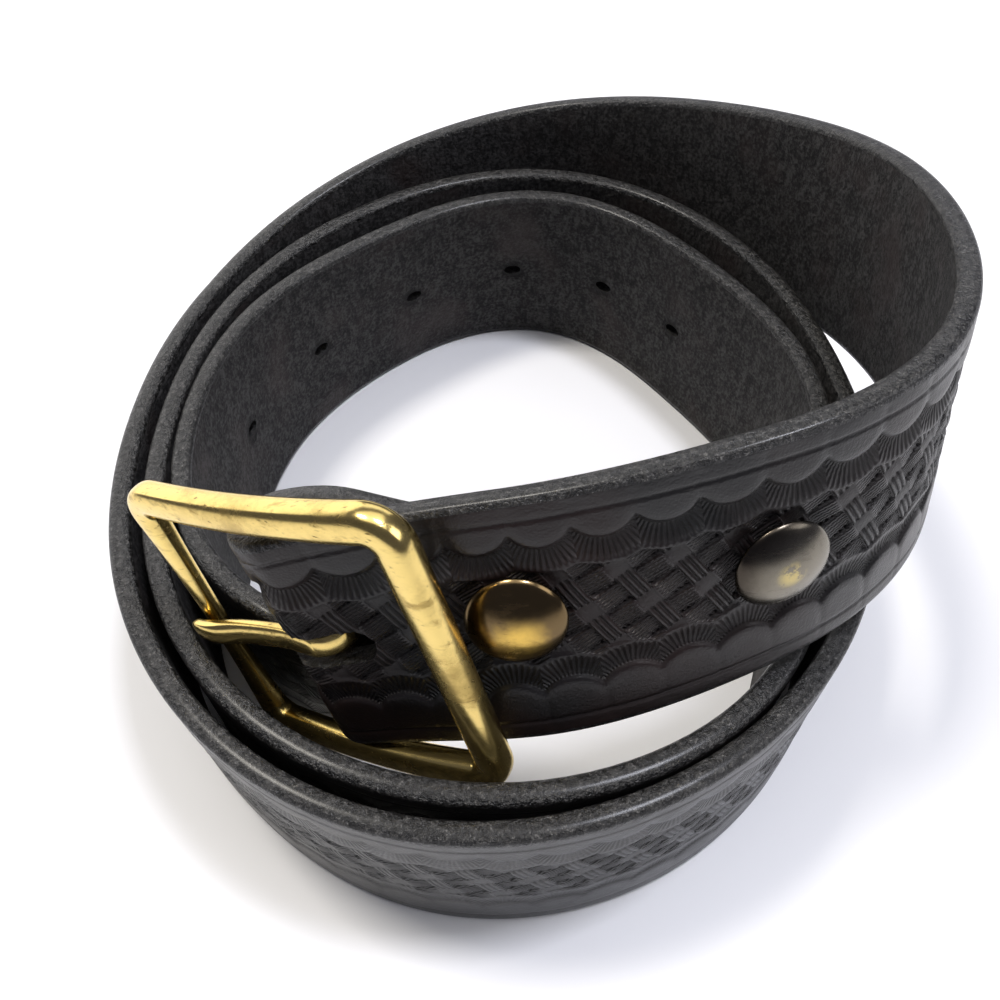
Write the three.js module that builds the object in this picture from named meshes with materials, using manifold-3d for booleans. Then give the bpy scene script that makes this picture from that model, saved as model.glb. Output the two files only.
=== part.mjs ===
// Basketweave leather belt, coiled on its edge, with a solid brass centre-bar
// buckle and two snap fasteners.  Millimetres, +Z up, origin under the middle
// of the coil on the surface it stands on.
import * as THREE from 'three';
import { mergeVertices } from 'three/addons/utils/BufferGeometryUtils.js';
import Module from 'manifold-3d';

const wasm = await Module();
wasm.setup();

// ---------------------------------------------------------------- sizes ----
const STRAP_WIDTH = 38.1;        // an inch and a half
const STRAP_THICK = 3.3;
const EDGE_BEVEL = 0.7;          // bevel taken off each long edge
const SECTION_STEP = 6;          // degrees of turn between two sections
const COIL_X = -6.214, COIL_Y = -12.436;   // coil centre, set so that the origin is under the middle of the box

const FOLD_TURN = 251.3;         // where the strap is folded round the buckle's bar
const BACK_TURN = 333;           // end of the folded-back layer
const LAYER_GAP = 0.4;           // between the two layers of the fold
const FOLD_CLOSE = 17;           // length over which the two layers come together
const BACK_SHAPE = [             // the folded-back layer sits askew: its lower and upper edge, measured up the front one
  { turn: 251.3, lower: 0, upper: 38.1 },
  { turn: 254.5, lower: -1.2, upper: 38.1 },
  { turn: 259, lower: -2.8, upper: 37.9 },
  { turn: 266, lower: -3.8, upper: 36.2 },
  { turn: 276, lower: -3.9, upper: 33.4 },
  { turn: 298, lower: -3.6, upper: 33.0 },
  { turn: 309, lower: -1.8, upper: 32.8 },
  { turn: 318, lower: 1.8, upper: 31.8 },
  { turn: 325, lower: 5.6, upper: 30.2 },
  { turn: 330, lower: 9.6, upper: 27.8 },
  { turn: 333, lower: 13, upper: 25.2 },
];
const TIP_TURN = 1303, END_TURN = 1323;  // the tail's rounded point
const TIP_LEAST = 0.22;          // how much of the width is left at the very end

const BAR_R = 2.1;               // buckle's centre bar
const BAR_STRAIGHT = 19.2, BAR_RISE = 1.9;   // half its straight length, and how far its ends rise
const FRAME_LONG = 40.0;         // between the centre lines of the two end bars
const FRAME_OFFSET = -0.8;       // middle of the frame from the centre bar, free end positive
const FRAME_WIDE = 44.4;        // between the centre lines of the two side bars
const FRAME_W = 4.9, FRAME_T = 4.4;      // section of the frame's bars at the loop end
const SIDE_TAPER = 0.12, END_TAPER = 0.34;   // lost along the side bars, and again by the middle of the free end bar
const FRAME_CORNER = 3.4;
const FRAME_SETBACK = 2.3;       // centre bar behind the frame's plane
const FRAME_BOW = 1.3;           // outward bow of the side bars
const FRAME_TURN = 18.2;         // degrees the frame is swung on its bar
const FRAME_SHIFT = 0.1;       // along the bar
const CLEAR = 0.3;               // gap between neighbouring pieces

const TONGUE_W = 3.8, TONGUE_T = 2.2;
const SLOT_W = 5.4, SLOT_END = 8.2;      // slot in the fold for the tongue

const CAP_R = 6.4, CAP_H = 2.5, CAP_RIM = 0.9, POST_R = 2.1;
const BACK_R = 5.6, BACK_H = 1.3;
const SNAP_HOLE_R = 2.5;
const SNAPS = [                  // up = above the strap's middle line
  { name: 'near', turn: 280.9, up: 2.2 }, { name: 'far', turn: 316.6, up: 0.4 },
];

const HOLE_R = 2.2;
const HOLES = [                  // tail holes, along the middle of the strap
  { turn: 1131.5 }, { turn: 1148 }, { turn: 1166 }, { turn: 1186 }, { turn: 1209 }, { turn: 1235 },
];

// The strap's route: angle turned round the coil's centre, distance of its foot
// line from the centre, height of its lower edge, and how far its upper edge
// leans out from the coil (degrees).
const ROUTE = [
  { turn: 218, radius: 63.7, lift: 18.2, lean: -13.5 },
  { turn: 250, radius: 48.45, lift: 28.6, lean: -13.7 },
  { turn: 282, radius: 48.1, lift: 35.6, lean: -21.4 },
  { turn: 312, radius: 53.8, lift: 39.6, lean: -18.0 },
  { turn: 340, radius: 65.0, lift: 41.2, lean: -12.5 },
  { turn: 360, radius: 70.3, lift: 38.9, lean: -9.5 },
  { turn: 378, radius: 74.4, lift: 33.9, lean: -4.7 },
  { turn: 396, radius: 79.0, lift: 27.4, lean: -1.3 },
  { turn: 415, radius: 82.4, lift: 20.3, lean: 1.4 },
  { turn: 440, radius: 84.7, lift: 11.4, lean: 3.6 },
  { turn: 470, radius: 77.1, lift: 3.9, lean: 2.9 },
  { turn: 500, radius: 66.5, lift: 0.0, lean: 1.5 },
  { turn: 530, radius: 59.4, lift: 0.0, lean: 0.5 },
  { turn: 560, radius: 58.9, lift: 0.0, lean: -0.8 },
  { turn: 590, radius: 58.6, lift: 0.0, lean: 2.0 },
  { turn: 620, radius: 61.2, lift: 0.0, lean: 0.4 },
  { turn: 650, radius: 62.2, lift: 0.0, lean: -1.5 },
  { turn: 680, radius: 62.1, lift: 0.0, lean: -1.2 },
  { turn: 710, radius: 62.1, lift: 0.0, lean: -0.2 },
  { turn: 740, radius: 66.0, lift: 0.0, lean: -0.2 },
  { turn: 770, radius: 75.2, lift: 0.0, lean: 0.2 },
  { turn: 800, radius: 80.3, lift: 0.0, lean: 0.5 },
  { turn: 830, radius: 71.4, lift: 0.0, lean: 0.3 },
  { turn: 860, radius: 61.7, lift: 0.0, lean: -0.1 },
  { turn: 890, radius: 55.1, lift: 0.0, lean: -0.7 },
  { turn: 920, radius: 53.6, lift: 0.0, lean: -0.2 },
  { turn: 950, radius: 54.3, lift: 0.0, lean: 1.2 },
  { turn: 980, radius: 55.5, lift: 0.0, lean: 1.3 },
  { turn: 1010, radius: 56.8, lift: 0.0, lean: 0.7 },
  { turn: 1040, radius: 56.8, lift: 0.0, lean: 0.3 },
  { turn: 1070, radius: 54.9, lift: 0.0, lean: -0.1 },
  { turn: 1100, radius: 60.0, lift: 0.0, lean: 1.3 },
  { turn: 1130, radius: 64.1, lift: 0.0, lean: 2.4 },
  { turn: 1160, radius: 73.0, lift: 0.0, lean: -0.8 },
  { turn: 1190, radius: 63.9, lift: 0.0, lean: -2.2 },
  { turn: 1220, radius: 54.8, lift: 0.0, lean: 2.2 },
  { turn: 1250, radius: 48.4, lift: 0.0, lean: 4.0 },
  { turn: 1280, radius: 47.3, lift: 0.0, lean: 0.5 },
  { turn: 1310, radius: 41.7, lift: 0.0, lean: 0.0 },
  { turn: 1330, radius: 38.0, lift: 0.0, lean: 0.0 },
];

// ------------------------------------------------------------- the route ----
// natural cubic spline through one column of the table
function spline(column) {
  const x = ROUTE.map((s) => s.turn), y = ROUTE.map((s) => s[column]), n = x.length;
  const m = new Array(n).fill(0), u = new Array(n).fill(0);
  for (let i = 1; i < n - 1; i++) {
    const s = (x[i] - x[i - 1]) / (x[i + 1] - x[i - 1]), p = s * m[i - 1] + 2;
    m[i] = (s - 1) / p;
    const d = (y[i + 1] - y[i]) / (x[i + 1] - x[i]) - (y[i] - y[i - 1]) / (x[i] - x[i - 1]);
    u[i] = (6 * d / (x[i + 1] - x[i - 1]) - s * u[i - 1]) / p;
  }
  for (let i = n - 2; i >= 0; i--) m[i] = m[i] * m[i + 1] + u[i];
  return (t) => {
    let i = 0;
    while (i < n - 2 && t > x[i + 1]) i++;
    const h = x[i + 1] - x[i], a = (x[i + 1] - t) / h, b = (t - x[i]) / h;
    return a * y[i] + b * y[i + 1] + ((a * a * a - a) * m[i] + (b * b * b - b) * m[i + 1]) * h * h / 6;
  };
}
const radiusAt = spline('radius'), liftAt = spline('lift'), leanAt = spline('lean');
const LAST_LIFT = 497;           // from here on the strap stands on the surface

// foot point of the strap's middle sheet, with its direction of travel, the
// direction of its width and its outward (grain side) normal
function footPoint(turn) {
  const a = THREE.MathUtils.degToRad(turn), r = radiusAt(turn);
  const z = turn > LAST_LIFT ? 0 : Math.max(0, liftAt(turn));
  return new THREE.Vector3(COIL_X + r * Math.cos(a), COIL_Y + r * Math.sin(a), z);
}
function strapAt(turn) {
  const c = footPoint(turn), h = 0.05;
  const travel = footPoint(turn + h).sub(footPoint(turn - h)).normalize();
  const out = new THREE.Vector3(travel.y, -travel.x, 0).normalize();
  const up = new THREE.Vector3().crossVectors(out, travel).normalize();
  const l = THREE.MathUtils.degToRad(leanAt(turn));
  const wide = up.clone().multiplyScalar(Math.cos(l)).addScaledVector(out, Math.sin(l));
  const normal = out.clone().multiplyScalar(Math.cos(l)).addScaledVector(up, -Math.sin(l));
  return { turn, c, travel, wide, normal };
}
// the same frame taken on the strap's surface, `up` its width
function surfaceAt(turn, up) {
  const s = strapAt(turn), point = (t) => { const q = strapAt(t); return q.c.addScaledVector(q.wide, up); };
  const travel = point(turn + 3).sub(point(turn - 3)).normalize();
  const normal = new THREE.Vector3().crossVectors(travel, s.wide).normalize();
  return { point: point(turn), travel, normal, wide: new THREE.Vector3().crossVectors(normal, travel).normalize() };
}
const at = (o, ...terms) => terms.reduce((p, [v, k]) => p.addScaledVector(v, k), o.clone());

// ------------------------------------------------------------ mesh helpers --
function signedVolume(pos, idx) {
  let v = 0;
  const a = new THREE.Vector3(), b = new THREE.Vector3(), c = new THREE.Vector3();
  for (let i = 0; i < idx.length; i += 3) {
    a.fromArray(pos, idx[i] * 3); b.fromArray(pos, idx[i + 1] * 3); c.fromArray(pos, idx[i + 2] * 3);
    v += a.dot(b.cross(c));
  }
  return v / 6;
}
// closed body through rings of points; looped = the last ring joins the first
function loft(rings, looped = false) {
  const n = rings[0].length, pos = [], idx = [];
  for (const r of rings) for (const p of r) pos.push(p.x, p.y, p.z);
  const count = looped ? rings.length : rings.length - 1;
  for (let i = 0; i < count; i++) {
    const A = i * n, B = ((i + 1) % rings.length) * n;
    for (let k = 0; k < n; k++) {
      const l = (k + 1) % n;
      idx.push(A + k, A + l, B + l, A + k, B + l, B + k);
    }
  }
  if (!looped) {
    const E = (rings.length - 1) * n;
    for (let k = 1; k < n - 1; k++) { idx.push(0, k + 1, k); idx.push(E, E + k, E + k + 1); }
  }
  if (signedVolume(pos, idx) < 0) for (let i = 0; i < idx.length; i += 3) [idx[i + 1], idx[i + 2]] = [idx[i + 2], idx[i + 1]];
  const g = new THREE.BufferGeometry();
  g.setAttribute('position', new THREE.Float32BufferAttribute(pos, 3));
  g.setIndex(idx);
  return g;
}
function solid(geometry) {
  let g = geometry.clone();
  g.deleteAttribute('normal');
  g.deleteAttribute('uv');
  g = mergeVertices(g, 1e-4);
  return new wasm.Manifold(new wasm.Mesh({
    numProp: 3,
    vertProperties: new Float32Array(g.attributes.position.array),
    triVerts: new Uint32Array(g.index.array),
  }));
}
function geometryOf(manifold) {
  const m = manifold.getMesh(), g = new THREE.BufferGeometry();
  const pos = new Float32Array(m.numVert * 3);
  for (let i = 0; i < m.numVert; i++) for (let k = 0; k < 3; k++) pos[i * 3 + k] = m.vertProperties[i * m.numProp + k];
  g.setAttribute('position', new THREE.BufferAttribute(pos, 3));
  g.setIndex(Array.from(m.triVerts));
  return g;
}
// matrix of a local frame: x, y, z axes and an origin
const frameMatrix = (x, y, z, o) => new THREE.Matrix4().makeBasis(x, y, z).setPosition(o);

// ------------------------------------------------------------------ strap ---
const HALF_T = STRAP_THICK / 2;
// section of the strap: across (grain side positive) and up its width
function strapSection(o, across, wide, from = 0, to = STRAP_WIDTH, grounded = false) {
  const e = Math.min(EDGE_BEVEL, (to - from) / 4);
  const pts = [
    [-HALF_T + e, from], [HALF_T - e, from], [HALF_T, from + e], [HALF_T, to - e],
    [HALF_T - e, to], [-HALF_T + e, to], [-HALF_T, to - e], [-HALF_T, from + e],
  ].map(([x, y]) => at(o, [across, x], [wide, y]));
  if (grounded) { pts[0].z = 0; pts[1].z = 0; }        // the standing edge is one flat face
  return pts;
}
const FOLD_R = BAR_R + CLEAR + HALF_T;    // middle sheet of the fold round the bar
const fold = strapAt(FOLD_TURN);
const barFoot = at(fold.c, [fold.normal, -FOLD_R]);

// distance between the two layers' middle sheets, from the fold onwards
function layerOffset(turn) {
  let length = 0, p = footPoint(FOLD_TURN);
  for (let t = FOLD_TURN; t < turn; t += 1) { const q = footPoint(Math.min(turn, t + 1)); length += q.distanceTo(p); p = q; }
  const k = Math.min(1, length / FOLD_CLOSE), s = k * k * (3 - 2 * k);
  return 2 * FOLD_R + (STRAP_THICK + LAYER_GAP - 2 * FOLD_R) * s;
}
function backEdge(turn, edge) {
  const i = Math.max(1, BACK_SHAPE.findIndex((row) => turn <= row.turn + 1e-9)), from = BACK_SHAPE[i - 1], to = BACK_SHAPE[i];
  return THREE.MathUtils.mapLinear(turn, from.turn, to.turn, from[edge], to[edge]);
}

const rings = [];
const backSteps = 24;
for (let i = 0; i < backSteps; i++) {                   // folded-back layer
  const s = strapAt(BACK_TURN + (FOLD_TURN - BACK_TURN) * i / backSteps);
  rings.push(strapSection(at(s.c, [s.normal, -layerOffset(s.turn)]), s.normal.clone().negate(), s.wide, backEdge(s.turn, 'lower'), backEdge(s.turn, 'upper')));
}
const foldSteps = 10;
for (let i = 0; i <= foldSteps; i++) {                  // round the bar
  const a = Math.PI * i / foldSteps;
  const across = at(new THREE.Vector3(), [fold.normal, -Math.cos(a)], [fold.travel, -Math.sin(a)]);
  rings.push(strapSection(at(barFoot, [across, FOLD_R]), across, fold.wide));
}
const lift0 = (turn) => turn > LAST_LIFT;
for (let t = 256; t <= TIP_TURN; t += t < 372 ? 5 : SECTION_STEP) {     // front layer and the coil
  const s = strapAt(t);
  rings.push(strapSection(s.c, s.normal, s.wide, 0, STRAP_WIDTH, lift0(t)));
}
const tipSteps = 7;
for (let i = 1; i <= tipSteps; i++) {                   // rounded point of the tail
  const k = i / tipSteps, s = strapAt(TIP_TURN + (END_TURN - TIP_TURN) * k);
  const half = (STRAP_WIDTH / 2) * Math.max(TIP_LEAST, Math.sqrt(1 - k * k));
  rings.push(strapSection(s.c, s.normal, s.wide, STRAP_WIDTH / 2 - half, STRAP_WIDTH / 2 + half));
}
let strap = solid(loft(rings));

// slot for the tongue, through both layers and round the fold
{
  const r = SLOT_W / 2, far = -(FOLD_R + HALF_T + 1), shape = new THREE.Shape();
  shape.moveTo(far, -r);
  shape.lineTo(SLOT_END - r, -r);
  shape.absarc(SLOT_END - r, 0, r, -Math.PI / 2, Math.PI / 2, false);
  shape.lineTo(far, r);
  shape.closePath();
  const deep = FOLD_R + HALF_T + 0.8;
  const g = new THREE.ExtrudeGeometry(shape, { depth: 2 * deep, bevelEnabled: false, curveSegments: 6 });
  g.translate(0, 0, -deep);
  g.applyMatrix4(frameMatrix(fold.travel, fold.wide, new THREE.Vector3().crossVectors(fold.travel, fold.wide), at(barFoot, [fold.wide, STRAP_WIDTH / 2 + FRAME_SHIFT])));
  strap = strap.subtract(solid(g));
}
// round holes: through both layers for the snaps, through the tail for the tongue
function drill(turn, radius, up, from, to) {
  const s = surfaceAt(turn, STRAP_WIDTH / 2 + up), g = new THREE.CylinderGeometry(radius, radius, to - from, 14);
  g.rotateX(Math.PI / 2);
  g.translate(0, 0, (from + to) / 2);
  g.applyMatrix4(frameMatrix(s.travel, s.wide, s.normal, s.point));
  strap = strap.subtract(solid(g));
}
for (const s of SNAPS) drill(s.turn, SNAP_HOLE_R, s.up, -(layerOffset(s.turn) + HALF_T + 1), HALF_T + 1.2);
for (const h of HOLES) drill(h.turn, HOLE_R, 0, -HALF_T - 1, HALF_T + 1);

// ----------------------------------------------------------------- buckle ---
// local frame of the buckle: origin on the middle of its centre bar, `free`
// towards the end bar that the tongue rests on, `along` the bar, `face` outward
const swing = THREE.MathUtils.degToRad(FRAME_TURN);
const free = at(new THREE.Vector3(), [fold.travel, -Math.cos(swing)], [fold.normal, -Math.sin(swing)]);
const face = at(new THREE.Vector3(), [fold.normal, Math.cos(swing)], [fold.travel, -Math.sin(swing)]);
const along = fold.wide.clone();
const barMiddle = at(barFoot, [fold.wide, STRAP_WIDTH / 2 + FRAME_SHIFT]);
const local = (f, a, n) => at(barMiddle, [free, f], [along, a], [face, n]);

// frame: a rounded rectangle of bars with softened corners, lighter towards the free end
const frameSize = (x, y) => {
  const L = FRAME_LONG / 2, e = THREE.MathUtils.smoothstep(x, L - 5, L) * (1 - (2 * y / FRAME_WIDE) ** 2);
  return 1 - SIDE_TAPER * (x + L) / (2 * L) - END_TAPER * e;
};
const frameRings = [];
{
  const L = FRAME_LONG / 2, B = FRAME_WIDE / 2, r = FRAME_CORNER, path = [];
  const corner = (cx, cy, a0) => { for (let i = 0; i <= 5; i++) { const a = a0 + Math.PI / 2 * i / 5; path.push([cx + r * Math.cos(a), cy + r * Math.sin(a), Math.cos(a), Math.sin(a)]); } };
  const run = (x0, y0, x1, y1, nx, ny, steps) => { for (let i = 1; i < steps; i++) path.push([x0 + (x1 - x0) * i / steps, y0 + (y1 - y0) * i / steps, nx, ny]); };
  corner(L - r, B - r, 0);
  run(L - r, B, -L + r, B, 0, 1, 6);
  corner(-L + r, B - r, Math.PI / 2);
  run(-L, B - r, -L, -B + r, -1, 0, 4);
  corner(-L + r, -B + r, Math.PI);
  run(-L + r, -B, L - r, -B, 0, -1, 6);
  corner(L - r, -B + r, 1.5 * Math.PI);
  run(L, -B + r, L, B - r, 1, 0, 8);
  const w = FRAME_W / 2, t = FRAME_T / 2, q = 0.62;
  const section = [[w, -t * q * 0.6], [w, t * q * 0.6], [w * q, t], [-w * q, t], [-w, t * q * 0.6], [-w, -t * q * 0.6], [-w * q, -t], [w * q, -t]];
  for (const [x, y, nx, ny] of path) {
    const n = FRAME_SETBACK + FRAME_BOW * (1 - (x / L) ** 2);
    const k = frameSize(x, y);
    frameRings.push(section.map(([o, h]) => local(x + FRAME_OFFSET + nx * o * k, y + ny * o * k, n + h * k)));
  }
}
let frame = solid(loft(frameRings, true));
{
  const bar = [[-1, 1], [-BAR_STRAIGHT, 0], [BAR_STRAIGHT, 0], [1, 1]].map(([y, end]) => {      // centre bar, its ends rising into the side bars
    const r = BAR_R * (1 - 0.3 * end), a = end ? y * FRAME_WIDE / 2 : y, n = BAR_RISE * end;
    return Array.from({ length: 16 }, (_, k) => local(r * Math.cos(k * Math.PI / 8), a, n + r * Math.sin(k * Math.PI / 8)));
  });
  frame = frame.add(solid(loft(bar)));
}

// tongue: a flat strip bent round the centre bar, lying on the free end bar
const tongueRings = [];
{
  const r = BAR_R + CLEAR + 0.25 + TONGUE_T / 2, pts = [];
  for (let a = 330; a > 80; a -= 16) { const b = THREE.MathUtils.degToRad(a); pts.push([r * Math.cos(b), r * Math.sin(b)]); }
  const L = FRAME_LONG / 2 + FRAME_OFFSET, top = FRAME_SETBACK + (FRAME_T / 2) * frameSize(FRAME_LONG / 2, 0) + CLEAR + 0.1 + TONGUE_T / 2;
  const arm = new THREE.CatmullRomCurve3([
    [r * Math.cos(1.37), r * Math.sin(1.37)], [4.2, 3.4], [8.5, 3.6], [13, 4.2], [L - 2.4, top + 0.1], [L + 0.3, top], [L + 2.0, top - 0.6],
  ].map(([x, y]) => new THREE.Vector3(x, y, 0)), false, 'centripetal');
  for (const p of arm.getPoints(14)) pts.push([p.x, p.y]);
  pts.forEach((p, i) => {
    const a = pts[Math.max(0, i - 1)], b = pts[Math.min(pts.length - 1, i + 1)];
    const dx = b[0] - a[0], dy = b[1] - a[1], l = Math.hypot(dx, dy), nx = -dy / l, ny = dx / l;
    const k = Math.max(0, (p[0] - (L - 3)) / 5.2);
    const w = (TONGUE_W / 2) * (1 - 0.35 * k), t = (TONGUE_T / 2) * (1 - 0.3 * k), e = 0.55;
    tongueRings.push([[w, -t + e], [w, t - e], [w - e, t], [-w + e, t], [-w, t - e], [-w, -t + e], [-w + e, -t], [w - e, -t]]
      .map(([s, h]) => local(p[0] + nx * h, s, p[1] + ny * h)));
  });
}
const tongue = solid(loft(tongueRings));

// ------------------------------------------------------------------ snaps ---
// cap and post in front, eyelet disc and post behind, turned about their axis
function snapPieces(turn, up) {
  const s = surfaceAt(turn, STRAP_WIDTH / 2 + up), off = layerOffset(turn);
  const place = frameMatrix(s.travel, s.wide, s.normal, s.point);
  const lathe = (profile, n = 28) => {
    const g = new THREE.LatheGeometry(profile.map(([x, y]) => new THREE.Vector2(x, y)), n);
    g.rotateX(Math.PI / 2);
    g.applyMatrix4(place);
    return solid(g);
  };
  const base = HALF_T + 0.5, mid = -(off / 2), foot = -(off + HALF_T + 0.8);
  const dome = [];
  for (let i = 0; i <= 5; i++) { const a = (i / 5) * Math.PI / 2; dome.push([(CAP_R - 0.2) * Math.cos(a), base + CAP_RIM + (CAP_H - CAP_RIM) * Math.sin(a)]); }
  dome[5][0] = 0;
  const cap = lathe([[0, mid + 0.2], [POST_R, mid + 0.2], [POST_R, base], [CAP_R - 0.35, base], [CAP_R, base + 0.35], [CAP_R, base + CAP_RIM - 0.15], ...dome]);
  const back = lathe([[0, foot - BACK_H], [BACK_R - 1.4, foot - BACK_H], [BACK_R, foot - 0.5], [BACK_R, foot], [POST_R, foot], [POST_R, mid - 0.2], [0, mid - 0.2]], 24);
  return { cap, back };
}

// --------------------------------------------------------------- the group --
const LEATHER = new THREE.MeshStandardMaterial({ color: 0x17171a, roughness: 0.45, metalness: 0 });
const BRASS = new THREE.MeshStandardMaterial({ color: 0xc9a257, roughness: 0.25, metalness: 1 });
const AGED_BRASS = new THREE.MeshStandardMaterial({ color: 0x7d6a4a, roughness: 0.35, metalness: 1 });

const belt = new THREE.Group();
belt.name = 'basketweave_leather_belt';
function piece(name, manifold, material) {
  const m = new THREE.Mesh(geometryOf(manifold), material.clone());
  m.name = name;
  belt.add(m);
}
piece('strap', strap, LEATHER);
piece('buckle_frame', frame, BRASS);
piece('buckle_tongue', tongue, BRASS);
for (const s of SNAPS) {
  const { cap, back } = snapPieces(s.turn, s.up);
  piece(`snap_cap_${s.name}`, cap, AGED_BRASS);
  piece(`snap_back_${s.name}`, back, AGED_BRASS);
}

export default belt;
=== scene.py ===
# Looks of the coiled basketweave leather belt: dense tooled strap, brass buckle
# and snap fasteners, on a plain pale floor.  Working units are millimetres,
# turned to metres when a mesh is written.
import bpy
import math
import numpy as np
from mathutils import Matrix, Vector
from mathutils.kdtree import KDTree


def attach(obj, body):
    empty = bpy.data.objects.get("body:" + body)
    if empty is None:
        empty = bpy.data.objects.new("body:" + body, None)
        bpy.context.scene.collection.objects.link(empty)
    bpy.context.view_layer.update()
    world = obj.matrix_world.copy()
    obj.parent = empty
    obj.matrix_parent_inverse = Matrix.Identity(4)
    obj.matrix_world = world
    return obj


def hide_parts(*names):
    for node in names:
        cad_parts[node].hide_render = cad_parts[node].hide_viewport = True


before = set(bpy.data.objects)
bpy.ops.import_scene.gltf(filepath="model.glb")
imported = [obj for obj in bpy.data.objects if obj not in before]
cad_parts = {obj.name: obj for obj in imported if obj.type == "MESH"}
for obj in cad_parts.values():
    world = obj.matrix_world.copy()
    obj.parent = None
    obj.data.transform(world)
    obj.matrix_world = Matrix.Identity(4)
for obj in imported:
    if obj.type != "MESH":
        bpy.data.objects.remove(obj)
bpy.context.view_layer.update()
MM = 0.001

# ------------------------------------------------------------------ sizes ----
STRAP_W, STRAP_T = 38.1, 3.3
HALF_T = STRAP_T / 2
COIL = (-6.214, -12.436)
FOLD_TURN, BACK_TURN, TIP_TURN, END_TURN = 251.3, 333.0, 1303.0, 1323.0
LAST_LIFT = 500.0
LAYER_GAP, FOLD_CLOSE, TIP_LEAST = 0.4, 17.0, 0.22
BAR_R, CLEAR = 2.1, 0.3
BAR_STRAIGHT, BAR_RISE = 19.2, 1.9
FRAME_LONG, FRAME_WIDE, FRAME_W, FRAME_T = 40.0, 44.4, 4.9, 4.4
FRAME_CORNER, FRAME_SETBACK, FRAME_BOW = 3.4, 2.3, 1.3
FRAME_TURN, FRAME_SHIFT, FRAME_OFFSET = 18.2, 0.1, -0.8
SIDE_TAPER, END_TAPER = 0.12, 0.34
TONGUE_W, TONGUE_T = 3.8, 2.2
SLOT_W, SLOT_END = 5.4, 8.2
CAP_R, CAP_H, CAP_RIM, POST_R = 6.4, 2.5, 0.9, 2.1
BACK_R, BACK_H = 5.6, 1.3
SNAP_HOLE_R = 2.5
SNAPS = (("near", 280.9, 2.2), ("far", 316.6, 0.4))
HOLE_R = 2.2
HOLES = (1131.5, 1148.0, 1166.0, 1186.0, 1209.0, 1235.0)

# angle turned round the coil's centre, distance of the foot line from it,
# height of the lower edge, outward lean of the upper edge (degrees)
ROUTE = np.array([
    (218, 63.7, 18.2, -13.5), (250, 48.45, 28.6, -13.7), (282, 48.1, 35.6, -21.4), (312, 53.8, 39.6, -18.0),
    (340, 65.0, 41.2, -12.5), (360, 70.3, 38.9, -9.5), (378, 74.4, 33.9, -4.7), (396, 79.0, 27.4, -1.3),
    (415, 82.4, 20.3, 1.4), (440, 84.7, 11.4, 3.6), (470, 77.1, 3.9, 2.9), (500, 66.5, 0.0, 1.5),
    (530, 59.4, 0.0, 0.5), (560, 58.9, 0.0, -0.8), (590, 58.6, 0.0, 2.0), (620, 61.2, 0.0, 0.4),
    (650, 62.2, 0.0, -1.5), (680, 62.1, 0.0, -1.2), (710, 62.1, 0.0, -0.2), (740, 66.0, 0.0, -0.2),
    (770, 75.2, 0.0, 0.2), (800, 80.3, 0.0, 0.5), (830, 71.4, 0.0, 0.3), (860, 61.7, 0.0, -0.1),
    (890, 55.1, 0.0, -0.7), (920, 53.6, 0.0, -0.2), (950, 54.3, 0.0, 1.2), (980, 55.5, 0.0, 1.3),
    (1010, 56.8, 0.0, 0.7), (1040, 56.8, 0.0, 0.3), (1070, 54.9, 0.0, -0.1), (1100, 60.0, 0.0, 1.3),
    (1130, 64.1, 0.0, 2.4), (1160, 73.0, 0.0, -0.8), (1190, 63.9, 0.0, -2.2), (1220, 54.8, 0.0, 2.2),
    (1250, 48.4, 0.0, 4.0), (1280, 47.3, 0.0, 0.5), (1310, 41.7, 0.0, 0.0), (1330, 38.0, 0.0, 0.0),
], float)


def spline(column):
    x, y = ROUTE[:, 0], ROUTE[:, column]
    n = len(x)
    m, u = np.zeros(n), np.zeros(n)
    for i in range(1, n - 1):
        s = (x[i] - x[i - 1]) / (x[i + 1] - x[i - 1])
        p = s * m[i - 1] + 2
        m[i] = (s - 1) / p
        d = (y[i + 1] - y[i]) / (x[i + 1] - x[i]) - (y[i] - y[i - 1]) / (x[i] - x[i - 1])
        u[i] = (6 * d / (x[i + 1] - x[i - 1]) - s * u[i - 1]) / p
    for i in range(n - 2, -1, -1):
        m[i] = m[i] * m[i + 1] + u[i]

    def value(t):
        t = np.asarray(t, float)
        i = np.clip(np.searchsorted(x, t, side="left") - 1, 0, n - 2)
        h = x[i + 1] - x[i]
        a, b = (x[i + 1] - t) / h, (t - x[i]) / h
        return a * y[i] + b * y[i + 1] + ((a ** 3 - a) * m[i] + (b ** 3 - b) * m[i + 1]) * h * h / 6
    return value


radius_at, lift_at, lean_at = spline(1), spline(2), spline(3)


def unit(v):
    return v / np.linalg.norm(v, axis=-1, keepdims=True)


def foot(t):
    t = np.asarray(t, float)
    a, r = np.radians(t), radius_at(t)
    z = np.where(t > LAST_LIFT, 0.0, np.maximum(0.0, lift_at(t)))
    return np.stack([COIL[0] + r * np.cos(a), COIL[1] + r * np.sin(a), z], -1)


def strap_at(t):
    """foot point of the middle sheet, direction of travel, of width and outward normal"""
    t = np.asarray(t, float)
    c, travel = foot(t), unit(foot(t + 0.05) - foot(t - 0.05))
    out = unit(np.stack([travel[..., 1], -travel[..., 0], np.zeros_like(t)], -1))
    up = unit(np.cross(out, travel))
    lean = np.radians(lean_at(t))[..., None]
    return c, travel, up * np.cos(lean) + out * np.sin(lean), out * np.cos(lean) - up * np.sin(lean)


def surface_at(turn, up):
    def point(t):
        c, _, w, _ = strap_at(t)
        return c + w * up
    _, _, w, _ = strap_at(turn)
    travel = unit(point(turn + 3) - point(turn - 3))
    normal = unit(np.cross(travel, w))
    return point(turn), travel, normal, unit(np.cross(normal, travel))


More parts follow.
